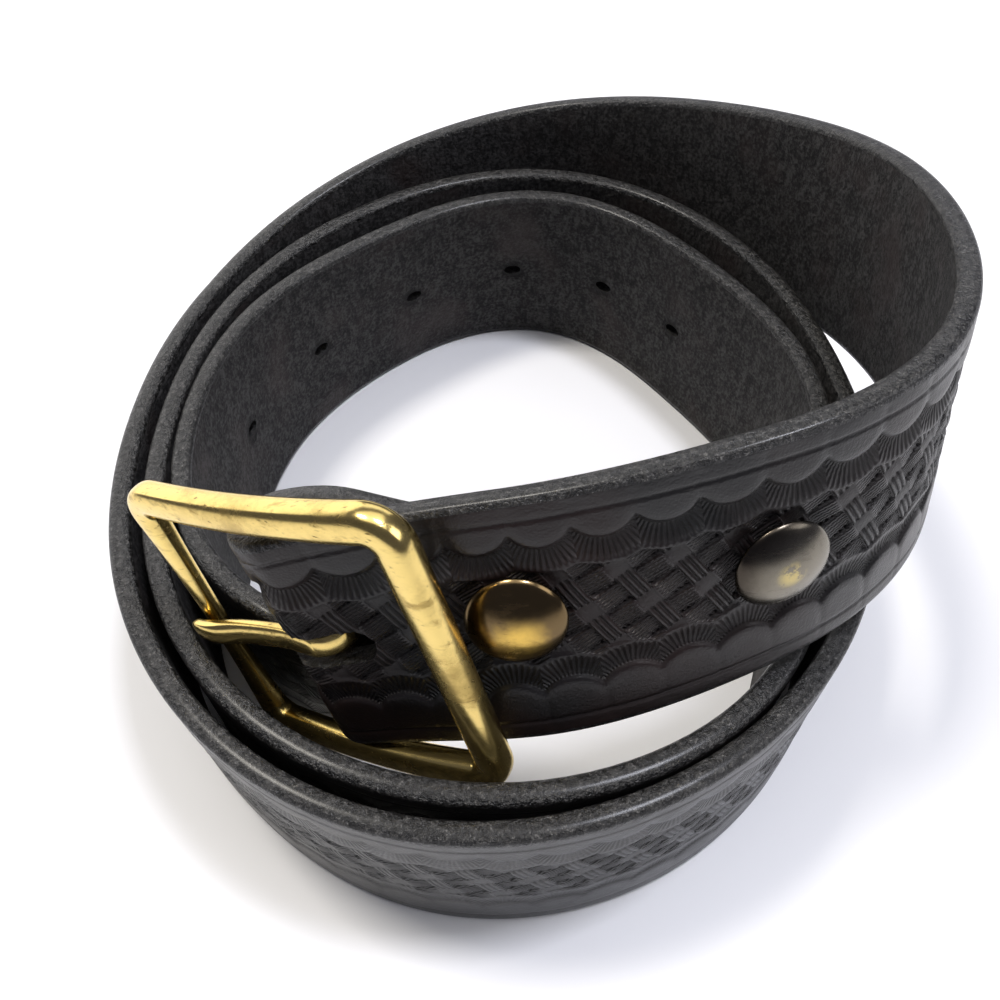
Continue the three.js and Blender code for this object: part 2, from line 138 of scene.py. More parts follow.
FOLD_R = BAR_R + CLEAR + HALF_T
fold_c, fold_travel, fold_wide, fold_normal = strap_at(FOLD_TURN)
bar_foot = fold_c - fold_normal * FOLD_R
BAR_MIDDLE = bar_foot + fold_wide * (STRAP_W / 2 + FRAME_SHIFT)
swing = math.radians(FRAME_TURN)
FREE = -fold_travel * math.cos(swing) - fold_normal * math.sin(swing)
FACE = fold_normal * math.cos(swing) - fold_travel * math.sin(swing)
ALONG = fold_wide


def local(f, a, n):
    f, a, n = (np.asarray(v, float)[..., None] for v in (f, a, n))
    return BAR_MIDDLE + FREE * f + ALONG * a + FACE * n


# arc length of the tooled face, from the fold
_tt = np.linspace(FOLD_TURN, END_TURN, 12000)
_c, _t, _w, _n = strap_at(_tt)
_mid = _c + _w * (STRAP_W / 2) + _n * HALF_T
_len = np.concatenate([[0], np.cumsum(np.linalg.norm(np.diff(_mid, axis=0), axis=1))])


def length_at(turn):
    return np.interp(turn, _tt, _len)


def turn_at(length):
    return np.interp(length, _len, _tt)


def layer_offset(turn):
    steps = np.arange(FOLD_TURN, max(turn, FOLD_TURN + 1e-6), 1.0)
    pts = foot(np.append(steps, turn))
    length = np.linalg.norm(np.diff(pts, axis=0), axis=1).sum()
    k = min(1.0, length / FOLD_CLOSE)
    return 2 * FOLD_R + (STRAP_T + LAYER_GAP - 2 * FOLD_R) * k * k * (3 - 2 * k)


# ------------------------------------------- arithmetic on arrays or sockets --
class Sock:
    """a node socket that can be added, multiplied and so on"""
    tree = None

    def __init__(self, out):
        self.out = out

    @staticmethod
    def math(op, *args):
        n = Sock.tree.nodes.new("ShaderNodeMath")
        n.operation = op
        for i, a in enumerate(args):
            if isinstance(a, Sock):
                Sock.tree.links.new(a.out, n.inputs[i])
            else:
                n.inputs[i].default_value = float(a)
        return Sock(n.outputs[0])

    def __add__(a, b): return Sock.math("ADD", a, b)
    def __radd__(a, b): return Sock.math("ADD", b, a)
    def __sub__(a, b): return Sock.math("SUBTRACT", a, b)
    def __rsub__(a, b): return Sock.math("SUBTRACT", b, a)
    def __mul__(a, b): return Sock.math("MULTIPLY", a, b)
    def __rmul__(a, b): return Sock.math("MULTIPLY", b, a)
    def __truediv__(a, b): return Sock.math("DIVIDE", a, b)
    def __neg__(a): return Sock.math("MULTIPLY", a, -1.0)


def _is(x): return isinstance(x, Sock)
def rnd(x): return Sock.math("ROUND", x) if _is(x) else np.round(x)
def absv(x): return Sock.math("ABSOLUTE", x) if _is(x) else np.abs(x)
def root(x): return Sock.math("SQRT", x) if _is(x) else np.sqrt(x)
def cosv(x): return Sock.math("COSINE", x) if _is(x) else np.cos(x)
def atan2v(y, x): return Sock.math("ARCTAN2", y, x) if _is(x) or _is(y) else np.arctan2(y, x)
def mn(a, b): return Sock.math("MINIMUM", a, b) if _is(a) or _is(b) else np.minimum(a, b)
def mx(a, b): return Sock.math("MAXIMUM", a, b) if _is(a) or _is(b) else np.maximum(a, b)


def step(lo, hi, x):
    """0 below lo, 1 above hi, smooth between"""
    if _is(x):
        n = Sock.tree.nodes.new("ShaderNodeMapRange")
        n.interpolation_type = "SMOOTHSTEP"
        n.inputs[1].default_value, n.inputs[2].default_value = lo, hi
        n.inputs[3].default_value, n.inputs[4].default_value = 0.0, 1.0
        Sock.tree.links.new(x.out, n.inputs[0])
        return Sock(n.outputs[0])
    k = np.clip((x - lo) / (hi - lo), 0, 1)
    return k * k * (3 - 2 * k)


def blend(a, b, k): return a + (b - a) * k


# ----------------------------------------------------------------- tooling ---
LOBE_START, LOBE_PITCH, LOBE_R = 1.2, 7.65, 4.3       # half-moon border stamps
LOBE_TOP, LOBE_LOW = 34.9, 5.6                        # their centre lines
WEAVE_S, WEAVE_W, WEAVE_ANGLE = 41.6, 22.6, 26.5      # a block's middle, and the weave's slant
WEAVE_P, WEAVE_Q = 6.5, 6.9                           # distance between columns, between blocks of a column
GROOVE_TOP, GROOVE_LOW = 34.85, 3.3


def tooling(s, w):
    """relief of the tooled face in mm at s along the strap and w up its width: (broad, fine)"""
    ds = s - LOBE_START
    ds = ds - rnd(ds / LOBE_PITCH) * LOBE_PITCH
    v = mx(mn(LOBE_TOP - w, w - LOBE_LOW), 0.0)
    r1 = root(ds * ds + v * v)
    other = LOBE_PITCH - absv(ds)
    r2 = root(other * other + v * v)
    k = 0.55
    h = mx(k - absv(r1 - r2), 0.0) / k
    d = mn(r1, r2) - h * h * (k / 4) - LOBE_R                 # distance inside the stamped band
    theta = atan2v(ds, v)
    ray = 0.5 + 0.5 * cosv(theta * 56.0)
    sunk = 0.75 * step(-0.30, 0.32, d) + 0.25 * step(-1.5, 0.1, d)
    border = sunk * (-0.54 + 0.40 * step(0.6, 4.0, d))
    border_fine = -0.20 * ray * step(0.12, 0.45, d) * (1.0 - step(2.2, 3.9, d))
    woven = step(3.75, 4.15, d)

    a = math.radians(WEAVE_ANGLE)
    p = (s - WEAVE_S) * math.cos(a) + (w - WEAVE_W) * math.sin(a)
    q = (w - WEAVE_W) * math.cos(a) - (s - WEAVE_S) * math.sin(a)
    i = rnd(p / WEAVE_P)
    pl = absv(p - i * WEAVE_P)
    qq = q + i * (WEAVE_Q / 2)
    aq = absv(qq - rnd(qq / WEAVE_Q) * WEAVE_Q)               # 0 in a block's middle
    under = 1.0 - step(WEAVE_Q / 4 - 0.06, WEAVE_Q / 4 + 0.06, aq)
    dq = mn(aq, WEAVE_Q / 2 - aq)                             # from the strand's middle line
    along = pl + (WEAVE_P - 2.0 * pl) * under                 # from where the strand lies on top
    crown = (dq * dq) * (0.14 / (WEAVE_Q / 4) ** 2)
    strand = -0.04 - 0.27 * step(1.7, WEAVE_P - 1.3, along) - crown
    hatch = 0.5 + 0.5 * cosv(q * (2 * math.pi / 0.50))
    strand_fine = -0.22 * hatch * step(1.35, 2.6, along)
    slit = (1.0 - step(0.02, 0.34, WEAVE_Q / 4 - dq)) * step(1.0, 1.5, pl)
    strand = strand - 0.34 * slit
    column = 1.0 - step(1.25, 1.42, pl)
    block = column * (1.0 - step(2.1, 2.35, aq))
    bars = 0.5 - 0.5 * cosv(pl * (2 * math.pi / 0.92))
    bar_h = -0.05 - 0.22 * step(1.3, 2.3, aq) - 0.08 * bars
    pillow = -0.03 - crown - 0.18 * (column - block)
    weave = blend(blend(strand, pillow, column), bar_h, block) - 0.08
    weave_fine = blend(strand_fine * (1.0 - column), -0.26 * bars * bars, block)

    e = mn(absv(w - GROOVE_TOP), absv(w - GROOVE_LOW))
    groove = -0.17 * (1.0 - step(0.03, 0.42, e))
    worn = step(170.0, 330.0, s)                              # the tooling is shallower beyond the buckle end
    broad = blend(border * (1.0 - 0.55 * worn), weave * (1.0 - 0.25 * worn), woven) + groove
    fine = blend(border_fine * (1.0 - 0.75 * worn), weave_fine * (1.0 - 0.45 * worn), woven)
    return broad, fine


# ---------------------------------------------------------------- materials --
def new_material(name):
    m = bpy.data.materials.new(name)
    m.use_nodes = True
    t = m.node_tree
    for n in list(t.nodes):
        t.nodes.remove(n)
    out = t.nodes.new("ShaderNodeOutputMaterial")
    b = t.nodes.new("ShaderNodeBsdfPrincipled")
    t.links.new(b.outputs[0], out.inputs["Surface"])
    Sock.tree = t
    return m, t, b


def noise(t, coord, scale, detail=4.0, rough=0.55, distortion=0.0):
    n = t.nodes.new("ShaderNodeTexNoise")
    n.inputs["Scale"].default_value = scale
    n.inputs["Detail"].default_value = detail
    n.inputs["Roughness"].default_value = rough
    n.inputs["Distortion"].default_value = distortion
    t.links.new(coord, n.inputs["Vector"])
    return Sock(n.outputs[0])


def voronoi(t, coord, scale, feature="F1"):
    n = t.nodes.new("ShaderNodeTexVoronoi")
    n.feature = feature
    n.inputs["Scale"].default_value = scale
    t.links.new(coord, n.inputs["Vector"])
    return Sock(n.outputs["Distance"])


def coords(t):
    return t.nodes.new("ShaderNodeTexCoord").outputs["Object"]


def stretched(t, coord, sx, sy, sz):
    n = t.nodes.new("ShaderNodeMapping")
    n.inputs["Scale"].default_value = (sx, sy, sz)
    t.links.new(coord, n.inputs["Vector"])
    return n.outputs[0]


def mixed(t, k, a, b):
    """colour between a and b"""
    n = t.nodes.new("ShaderNodeMix")
    n.data_type = "RGBA"
    t.links.new(k.out, n.inputs["Factor"])
    for sock, c in ((n.inputs[6], a), (n.inputs[7], b)):
        if isinstance(c, tuple):
            sock.default_value = (*c, 1.0)
        else:
            t.links.new(c, sock)
    return n.outputs[2]


def bump(t, bsdf, height, distance, strength=1.0, before=None):
    n = t.nodes.new("ShaderNodeBump")
    n.inputs["Strength"].default_value = strength
    n.inputs["Distance"].default_value = distance
    t.links.new(height.out, n.inputs["Height"])
    if before is not None:
        t.links.new(before, n.inputs["Normal"])
    t.links.new(n.outputs[0], bsdf.inputs["Normal"])
    return n.outputs[0]


def attribute(t, name):
    n = t.nodes.new("ShaderNodeAttribute")
    n.attribute_name = name
    return Sock(n.outputs["Fac"])


def leather_grain():
    m, t, b = new_material("black_tooled_leather")
    o = coords(t)
    s, w, dense = attribute(t, "strap_s"), attribute(t, "strap_w"), attribute(t, "strap_dense")
    broad, fine = tooling(s, w)
    pores = voronoi(t, o, 3000.0)
    wrinkle = noise(t, o, 2300.0, 2.0, 0.6)
    crease = noise(t, o, 420.0, 3.0, 0.5)
    cloud = noise(t, o, 48.0, 3.0, 0.5)
    wear = noise(t, o, 240.0, 3.0, 0.6)
    height = 1.8 * fine + broad * (0.6 - 0.4 * dense) + (0.028 * pores) + (0.05 * wrinkle) + (0.05 * crease)
    bump(t, b, height, MM, 1.0)
    # painted shade: the tint is darker in the tooled recesses and lighter on the raised tops, which are also glossier
    raised_vs_shaded_recess = step(-0.55, -0.10, broad + fine)
    tint = mixed(t, raised_vs_shaded_recess, (0.0010, 0.0009, 0.0009), (0.0090, 0.0083, 0.0085))
    warm_reflection_patches = (1.0 - step(30.0, 105.0, absv(s - 12.0))) * step(0.34, 0.60, cloud)       # redder near the buckle, in patches: painted reflection of warm surroundings
    tint = mixed(t, warm_reflection_patches * 0.8, tint, (0.0170, 0.0092, 0.0080))
    t.links.new(tint, b.inputs["Base Color"])
    rough = 0.60 - 0.24 * raised_vs_shaded_recess + 0.22 * (wear - 0.5) + 0.14 * (cloud - 0.5)
    t.links.new(rough.out, b.inputs["Roughness"])
    b.inputs["Specular IOR Level"].default_value = 0.43
    b.inputs["Coat Weight"].default_value = 0.08
    b.inputs["Coat Roughness"].default_value = 0.22
    return m


def leather_edge():
    m, t, b = new_material("burnished_leather_edge")
    o = coords(t)
    coarse = noise(t, o, 1150.0, 3.0, 0.70)
    fibre = noise(t, stretched(t, o, 1.0, 1.0, 0.6), 2800.0, 3.0, 0.6)
    cloud = noise(t, o, 90.0, 3.0, 0.5)
    fleck_and_glint = noise(t, o, 3300.0, 2.0, 0.6)
    bump(t, b, 0.62 * coarse + 0.24 * fibre + 0.10 * fleck_and_glint, MM, 1.0)
    tint = mixed(t, step(0.44, 0.66, coarse), (0.0045, 0.0042, 0.0041), (0.0380, 0.0365, 0.0350))
    # bright flecks along the edge: partly lighter fibres, partly painted glints
    tint = mixed(t, step(0.57, 0.66, fleck_and_glint) * step(0.42, 0.60, coarse) * 0.8, tint, (0.150, 0.145, 0.136))
    t.links.new(tint, b.inputs["Base Color"])
    rough = 0.36 + 0.25 * (cloud - 0.5) + 0.4 * (coarse - 0.5)
    t.links.new(rough.out, b.inputs["Roughness"])
    b.inputs["Specular IOR Level"].default_value = 0.5
    b.inputs["Coat Weight"].default_value = 0.22
    b.inputs["Coat Roughness"].default_value = 0.20
    return m


def leather_flesh():
    m, t, b = new_material("dyed_leather_flesh_side")
    o = coords(t)
    s, w = attribute(t, "strap_s"), attribute(t, "strap_w")
    nap = noise(t, o, 1500.0, 3.0, 0.72)
    pile = noise(t, o, 480.0, 3.0, 0.7, 0.6)
    scuff = noise(t, stretched(t, o, 1.0, 1.0, 0.35), 700.0, 2.0, 0.65, 0.8)
    cloud = noise(t, o, 55.0, 2.0, 0.6)
    hole = None                                   # fibres pushed in round each tail hole, with painted shade in the dimple
    for turn in HOLES:
        ds, dw = s - float(length_at(turn)), (w - STRAP_W / 2) * 1.25
        d = root(ds * ds + dw * dw)
        hole = d if hole is None else mn(hole, d)
    hole = 1.0 - step(1.0, 3.6, hole + 2.6 * (pile - 0.5))
    bump(t, b, 0.34 * nap + 0.26 * pile + 0.22 * scuff - 0.55 * hole, MM, 0.9)
    tint = mixed(t, step(0.42, 0.62, nap * 0.5 + pile * 0.3 + scuff * 0.2), (0.0062, 0.0058, 0.0060), (0.0600, 0.0575, 0.0570))
    tint = mixed(t, step(0.48, 0.74, cloud) * 0.55, tint, (0.034, 0.021, 0.019))
    # darker round each hole: painted shade in the dimple
    tint = mixed(t, hole * 0.75, tint, (0.0045, 0.0040, 0.0042))
    t.links.new(tint, b.inputs["Base Color"])
    rough = 0.78 - 0.24 * step(0.5, 0.75, cloud)
    t.links.new(rough.out, b.inputs["Roughness"])
    b.inputs["Specular IOR Level"].default_value = 0.35
    return m


def brass(name, bright, dull, base_rough, tarnish, streak, worn_at=None, reflection_patch=None):
    m, t, b = new_material(name)
    o = coords(t)
    cloud = noise(t, o, 70.0, 3.0, 0.5, 0.3)
    fine = noise(t, o, 900.0, 3.0, 0.5)
    lines = noise(t, stretched(t, o, 0.22, 1.0, 1.5), 1700.0, 2.0, 0.5)
    patina = noise(t, stretched(t, o, 0.35, 0.9, 1.3), 420.0, 5.0, 0.65)
    spots = noise(t, o, 420.0, 5.0, 0.7)
    dark = step(0.50, 0.74, cloud * 0.7 + spots * 0.3)
    scratch = step(0.63, 0.72, lines) * step(0.40, 0.60, spots)
    stain = step(0.54, 0.70, patina)
    tint = mixed(t, dark * tarnish, bright, dull)
    tint = mixed(t, stain * (0.7 * streak), tint, dull)
    tint = mixed(t, scratch * streak, tint, tuple(0.4 * c for c in dull))
    if reflection_patch is not None:                         # painted reflection: bright in a patch of the dome and darker away from it, standing in for the lit floor and the dim room mirrored there: (bright middle, from, to)
        d = t.nodes.new("ShaderNodeVectorMath")
        d.operation = "DISTANCE"
        d.inputs[1].default_value = reflection_patch[0]
        t.links.new(o, d.inputs[0])
        side = step(reflection_patch[1], reflection_patch[2], Sock(d.outputs["Value"]) + 0.003 * (cloud - 0.5) + 0.0022 * (spots - 0.5))
        tint = mixed(t, side * 0.92, tint, dull)
    rough = base_rough + 0.16 * dark + 0.10 * (fine - 0.5) + 0.10 * stain + 0.12 * streak * scratch
    if worn_at is not None:                        # a rubbed spot in the middle
        d = t.nodes.new("ShaderNodeVectorMath")
        d.operation = "DISTANCE"
        d.inputs[1].default_value = worn_at
        t.links.new(o, d.inputs[0])
        rub = (1.0 - step(0.0006, 0.0024, Sock(d.outputs["Value"]))) * step(0.40, 0.54, spots)
        tint = mixed(t, rub * 0.85, tint, (0.66, 0.54, 0.24))
        rough = rough + 0.18 * rub
    t.links.new(tint, b.inputs["Base Color"])
    b.inputs["Metallic"].default_value = 1.0
    t.links.new(rough.out, b.inputs["Roughness"])
    bump(t, b, 0.010 * fine + 0.03 * cloud - 0.012 * streak * scratch, MM, 1.0)
    return m


GRAIN, EDGE, FLESH = leather_grain(), leather_edge(), leather_flesh()
BRASS = brass("polished_brass", (0.88, 0.665, 0.235), (0.25, 0.155, 0.04), 0.19, 0.65, 0.8)
# the last argument of each cap finish is a painted reflection: a bright patch on the dome with a darker rest
_p, _t, _n, _w = surface_at(SNAPS[0][1], STRAP_W / 2 + SNAPS[0][2])
AGED = brass("antique_brass", (0.76, 0.50, 0.115), (0.120, 0.085, 0.052), 0.20, 0.5, 0.25, None, (tuple((_p - 2.2 * _w + _n * (HALF_T + 2.4)) * MM), 0.0014, 0.0048))
_p, _t, _n, _w = surface_at(SNAPS[1][1], STRAP_W / 2 + SNAPS[1][2])
GREYED = brass("greyed_brass", (0.225, 0.205, 0.165), (0.055, 0.045, 0.036), 0.24, 0.8, 0.25, tuple((_p + _n * (HALF_T + 0.5 + CAP_H)) * MM),
               (tuple((_p - 1.5 * _w + 3.0 * _t + _n * (HALF_T + 2.4)) * MM), 0.0045, 0.0090))


# -------------------------------------------------------------------- meshes --
def mesh_object(name, verts, faces, materials, indices=None, smooth=True):
    me = bpy.data.meshes.new(name)
    me.from_pydata((np.asarray(verts) * MM).tolist(), [], faces)
    for m in materials:
        me.materials.append(m)
    if indices is not None:
        me.polygons.foreach_set("material_index", np.asarray(indices, np.int32))
    me.polygons.foreach_set("use_smooth", [smooth] * len(me.polygons))
    me.update()
    ob = bpy.data.objects.new(name, me)
    bpy.context.scene.collection.objects.link(ob)
    return ob


def signed_volume(verts, faces):
    v = np.asarray(verts)
    total = 0.0
    for f in faces:
        a = v[f[0]]
        for i in range(1, len(f) - 1):
            total += np.dot(a, np.cross(v[f[i]], v[f[i + 1]]))
    return total / 6


def facing_out(verts, faces):
    return faces if signed_volume(verts, faces) > 0 else [tuple(reversed(f)) for f in faces]


def loft(rings, looped=False):
    rings = [np.asarray(r) for r in rings]
    n, verts, faces = len(rings[0]), np.concatenate(rings), []
    count = len(rings) if looped else len(rings) - 1
    for i in range(count):
        a, b = i * n, ((i + 1) % len(rings)) * n
        for k in range(n):
            l = (k + 1) % n
            faces.append((a + k, a + l, b + l, b + k))
    if not looped:
        faces.append(tuple(range(n - 1, -1, -1)))
        faces.append(tuple((len(rings) - 1) * n + k for k in range(n)))
    return verts, facing_out(verts, faces)


def applied(ob):
    """the object's mesh with its modifiers applied"""
    dg = bpy.context.evaluated_depsgraph_get()
    me = bpy.data.meshes.new_from_object(ob.evaluated_get(dg), preserve_all_data_layers=True, depsgraph=dg)
    ob.modifiers.clear()
    old, ob.data = ob.data, me
    bpy.data.meshes.remove(old)


def carve(ob, cutters, how="DIFFERENCE"):
    for c in cutters:
        m = ob.modifiers.new("cut", "BOOLEAN")
        m.operation, m.object, m.solver = how, c, "MANIFOLD"
    bpy.context.view_layer.update()
    applied(ob)
    for c in cutters:
        bpy.data.objects.remove(c)


# --------------------------------------------------------------------- strap --
EDGE_E, EDGE_N = 1.15, 8          # run of the rounded edges, and their steps
FLESH_N = 8
ZONES = (                         # turn from, to, step along in mm, columns over the tooled face, share of the relief in the mesh
    (FOLD_TURN, 345.0, 0.38, 100, 1.0), (345.0, 440.0, 0.60, 66, 0.55), (440.0, 590.0, 1.1, 36, 0.2),
    (590.0, 700.0, 0.66, 56, 0.5), (700.0, 790.0, 1.0, 38, 0.25), (790.0, TIP_TURN, 3.1, 12, 0.0),
)
snap_spots = []
for _, turn, up in SNAPS:
    snap_spots.append((float(length_at(turn)), STRAP_W / 2 + up))


def dish(s, w):
    """the leather drawn in round each snap"""
    h = np.zeros_like(s)
    for cs, cw in snap_spots:
        r = np.hypot(s - cs, w - cw)
        h -= 0.5 * (1 - step(6.2, 10.5, r))
    return h


def relief(s, w, dense):
    broad, fine = tooling(s, w)
    h = broad + fine * (0.55 if dense > 0.9 else 0.0)
    h = h + dish(s, w)
    h = h + 0.05 * np.sin(s * 0.41 + w * 0.23) * np.sin(s * 0.13 - w * 0.31 + 1.3)      # slight unevenness
    e = np.minimum(w - EDGE_E, STRAP_W - EDGE_E - w)
    return h * step(0.0, 0.9, e)


class Rows:
    def __init__(self):
        self.verts, self.s, self.w, self.dense, self.starts, self.columns, self.count = [], [], [], [], [], [], 0

    def add(self, centre, across, wide, s, columns, dense, w_lo=0.0, w_hi=STRAP_W, shrink=1.0, grounded=False, half_t=HALF_T):
        """one closed section: tooled face, upper edge, flesh face, lower edge"""
        ww = np.linspace(EDGE_E, STRAP_W - EDGE_E, columns + 1)
        x = half_t + relief(np.full_like(ww, s), ww, dense) * shrink
        ph = np.linspace(0, math.pi, EDGE_N + 1)[1:-1]
        ex = half_t * np.sign(np.cos(ph)) * np.abs(np.cos(ph)) ** 0.72
        ew = EDGE_E * np.abs(np.sin(ph)) ** 0.72
        wf = np.linspace(STRAP_W - EDGE_E, EDGE_E, FLESH_N + 1)
        W = np.concatenate([ww, STRAP_W - EDGE_E + ew, wf, EDGE_E - ew[::-1]])
        X = np.concatenate([x, ex, np.full(FLESH_N + 1, -half_t), ex[::-1]])
        X[-(EDGE_N - 1):] = ex[::-1]
        Wr = w_lo + (w_hi - w_lo) * W / STRAP_W
        P = centre + across * X[:, None] + wide * Wr[:, None]
        if grounded:
            P[:, 2] = np.maximum(P[:, 2], 0.0)
        self.starts.append(self.count)
        self.columns.append(columns)
        self.verts.append(P)
        self.s.append(np.full(len(W), s))
        self.w.append(Wr if w_hi - w_lo == STRAP_W else W)
        self.dense.append(np.full(len(W), dense))
        self.count += len(W)


rows = Rows()
fold_len = math.pi * (FOLD_R + HALF_T)
# folded-back layer, from its end to the bar; it sits askew: turn, its lower and upper edge measured up the front one
BACK_SHAPE = np.array([
    (251.3, 0, 38.1), (254.5, -1.2, 38.1), (259, -2.8, 37.9), (266, -3.8, 36.2), (276, -3.9, 33.4), (298, -3.6, 33.0),
    (309, -1.8, 32.8), (318, 1.8, 31.8), (325, 5.6, 30.2), (330, 9.6, 27.8), (333, 13, 25.2),
], float)


def back_edge(t, column):
    """the table's value, its corners eased"""
    return float(np.mean(np.interp(t + np.array([-1.6, -0.8, 0.0, 0.8, 1.6]), BACK_SHAPE[:, 0], BACK_SHAPE[:, column])))


back_turns = turn_at(np.linspace(float(length_at(BACK_TURN)), 0.0, 84))
for t in back_turns[:-1]:
    c, _, w, n = strap_at(t)
    rows.add(c - n * layer_offset(float(t)), -n, w, -fold_len - float(length_at(t)), 24, 0.0, back_edge(t, 1), back_edge(t, 2))
# round the bar
turns_round = 34
for i in range(turns_round + 1):
    a = math.pi * i / turns_round
    across = -fold_normal * math.cos(a) - fold_travel * math.sin(a)
    rows.add(bar_foot + across * FOLD_R, across, fold_wide, -fold_len * (1 - i / turns_round), 24 if a < 0.9 else 100, 0.0 if a < 0.9 else 1.0)
# front layer and the coil
for t0, t1, stp, cols, dense in ZONES:
    l0, l1 = float(length_at(t0)), float(length_at(t1))
    n = max(2, int(round((l1 - l0) / stp)))
    for l in np.linspace(l0, l1, n + 1)[1 if t0 == FOLD_TURN else 0:-1]:
        t = float(turn_at(l))
        c, _, w, nrm = strap_at(t)
        rows.add(c, nrm, w, l, cols, dense, grounded=t > 490)
# rounded point of the tail
tip_steps = 15
for i in range(tip_steps + 1):
    k = i / tip_steps
    t = TIP_TURN + (END_TURN - TIP_TURN) * k
    c, _, w, nrm = strap_at(t)
    half = STRAP_W / 2 * max(TIP_LEAST, math.sqrt(max(0.0, 1 - k * k)))
    rows.add(c, nrm, w, float(length_at(t)), 12, 0.0, STRAP_W / 2 - half, STRAP_W / 2 + half, 1 - 0.6 * k)

faces, kinds = [], []                      # kinds: 0 grain, 1 edge, 2 flesh
for r in range(len(rows.starts) - 1):
    A, B, ca, cb = rows.starts[r], rows.starts[r + 1], rows.columns[r], rows.columns[r + 1]
    ia, ib = 0, 0
    if ca == cb:
        for k in range(ca):
            faces.append((A + k, A + k + 1, B + k + 1, B + k))
            kinds.append(0)
    else:
        while ia < ca or ib < cb:
            if ib >= cb or (ia < ca and (ia + 1) / ca <= (ib + 1) / cb):
                faces.append((A + ia, A + ia + 1, B + ib))
                ia += 1
            else:
                faces.append((A + ia, B + ib + 1, B + ib))
                ib += 1
            kinds.append(0)
    na, rest = ca + 1, 2 * (EDGE_N - 1) + FLESH_N + 1
    for k in range(-1, rest):
        a0, b0 = A + ca + 1 + k, B + cb + 1 + k
        a1 = a0 + 1 if k < rest - 1 else A
        b1 = b0 + 1 if k < rest - 1 else B
        faces.append((a0, a1, b1, b0))
        kinds.append(2 if EDGE_N - 1 <= k < EDGE_N - 1 + FLESH_N else 1)
first, last = rows.starts[0], rows.starts[-1]
faces.append(tuple(range(first + rows.columns[0] + 2 * (EDGE_N - 1) + FLESH_N + 1, first - 1, -1)))
faces.append(tuple(range(last, rows.count)))
kinds += [1, 1]
verts = np.concatenate(rows.verts)
S, Wd, D = np.concatenate(rows.s), np.concatenate(rows.w), np.concatenate(rows.dense)
faces = facing_out(verts, faces)
strap = mesh_object("strap_leather", verts, faces, [GRAIN, EDGE, FLESH], kinds)
print("strap before cuts: verts", len(verts), "faces", len(faces))


def add_floats(me, name, values):
    a = me.attributes.get(name) or me.attributes.new(name, "FLOAT", "POINT")
    a.data.foreach_set("value", np.asarray(values, np.float32))


def prism(name, outline, z0, z1, x, y, z, origin, material=EDGE):
    """closed prism of a 2-D outline in a local frame"""
    outline = np.asarray(outline)
    rings = []
    for h in (z0, z1):
        rings.append(origin + outline[:, :1] * x + outline[:, 1:2] * y + h * z)
    v, f = loft(rings)
    return mesh_object(name, v, f, [material], smooth=False)


def circle(r, n=40):
    a = np.linspace(0, 2 * math.pi, n, endpoint=False)
    return np.stack([r * np.cos(a), r * np.sin(a)], -1)


cutters = []
r, far = SLOT_W / 2, -(FOLD_R + HALF_T + 1)
arc = np.linspace(-math.pi / 2, math.pi / 2, 15)
slot_outline = np.concatenate([[[far, -r]], np.stack([SLOT_END - r + r * np.cos(arc), r * np.sin(arc)], -1), [[far, r]]])
deep = FOLD_R + HALF_T + 1.2
cutters.append(prism("slot_cut", slot_outline, -deep, deep, fold_travel, fold_wide, np.cross(fold_travel, fold_wide), BAR_MIDDLE))
for _, turn, up in SNAPS:
    p, tr, nrm, wd = surface_at(turn, STRAP_W / 2 + up)
    cutters.append(prism("snap_cut", circle(SNAP_HOLE_R), -(layer_offset(turn) + HALF_T + 1), HALF_T + 1.2, tr, wd, nrm, p))
for turn in HOLES:
    p, tr, nrm, wd = surface_at(turn, STRAP_W / 2)
    pinch = circle(HOLE_R, 32) * (0.86, 0.52)
    cutters.append(prism("hole_cut", pinch, -HALF_T - 1, HALF_T + 1, tr, wd, nrm, p))
carve(strap, cutters)
tree = KDTree(len(verts))
for i, v in enumerate(verts * MM):
    tree.insert(v, i)
tree.balance()
near = [tree.find(v.co)[1] for v in strap.data.vertices]
add_floats(strap.data, "strap_s", S[near])
add_floats(strap.data, "strap_w", Wd[near])
add_floats(strap.data, "strap_dense", D[near])
strap.data.set_sharp_from_angle(angle=math.radians(50))
print("strap: triangles", sum(len(p.vertices) - 2 for p in strap.data.polygons))
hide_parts("strap")
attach(strap, "strap")

# -------------------------------------------------------------------- buckle --
def rounded(half_w, half_t, n, power):
    a = np.linspace(0, 2 * math.pi, n, endpoint=False)
    c, s = np.cos(a), np.sin(a)
    return np.stack([half_w * np.sign(c) * np.abs(c) ** (2 / power), half_t * np.sign(s) * np.abs(s) ** (2 / power)], -1)


path = []
L, B, rc = FRAME_LONG / 2, FRAME_WIDE / 2, FRAME_CORNER


def corner(cx, cy, a0, n=12):
    for i in range(n + 1):
        a = a0 + math.pi / 2 * i / n
        path.append((cx + rc * math.cos(a), cy + rc * math.sin(a), math.cos(a), math.sin(a)))


def run(x0, y0, x1, y1, nx, ny, n):
    for i in range(1, n):
        path.append((x0 + (x1 - x0) * i / n, y0 + (y1 - y0) * i / n, nx, ny))


corner(L - rc, B - rc, 0)
run(L - rc, B, -L + rc, B, 0, 1, 28)
corner(-L + rc, B - rc, math.pi / 2)
run(-L, B - rc, -L, -B + rc, -1, 0, 30)
corner(-L + rc, -B + rc, math.pi)
run(-L + rc, -B, L - rc, -B, 0, -1, 28)
corner(L - rc, -B + rc, 1.5 * math.pi)
run(L, -B + rc, L, B - rc, 1, 0, 30)
def frame_size(x, y):
    return 1 - SIDE_TAPER * (x + L) / (2 * L) - END_TAPER * float(step(L - 5, L, x)) * (1 - (y / B) ** 2)


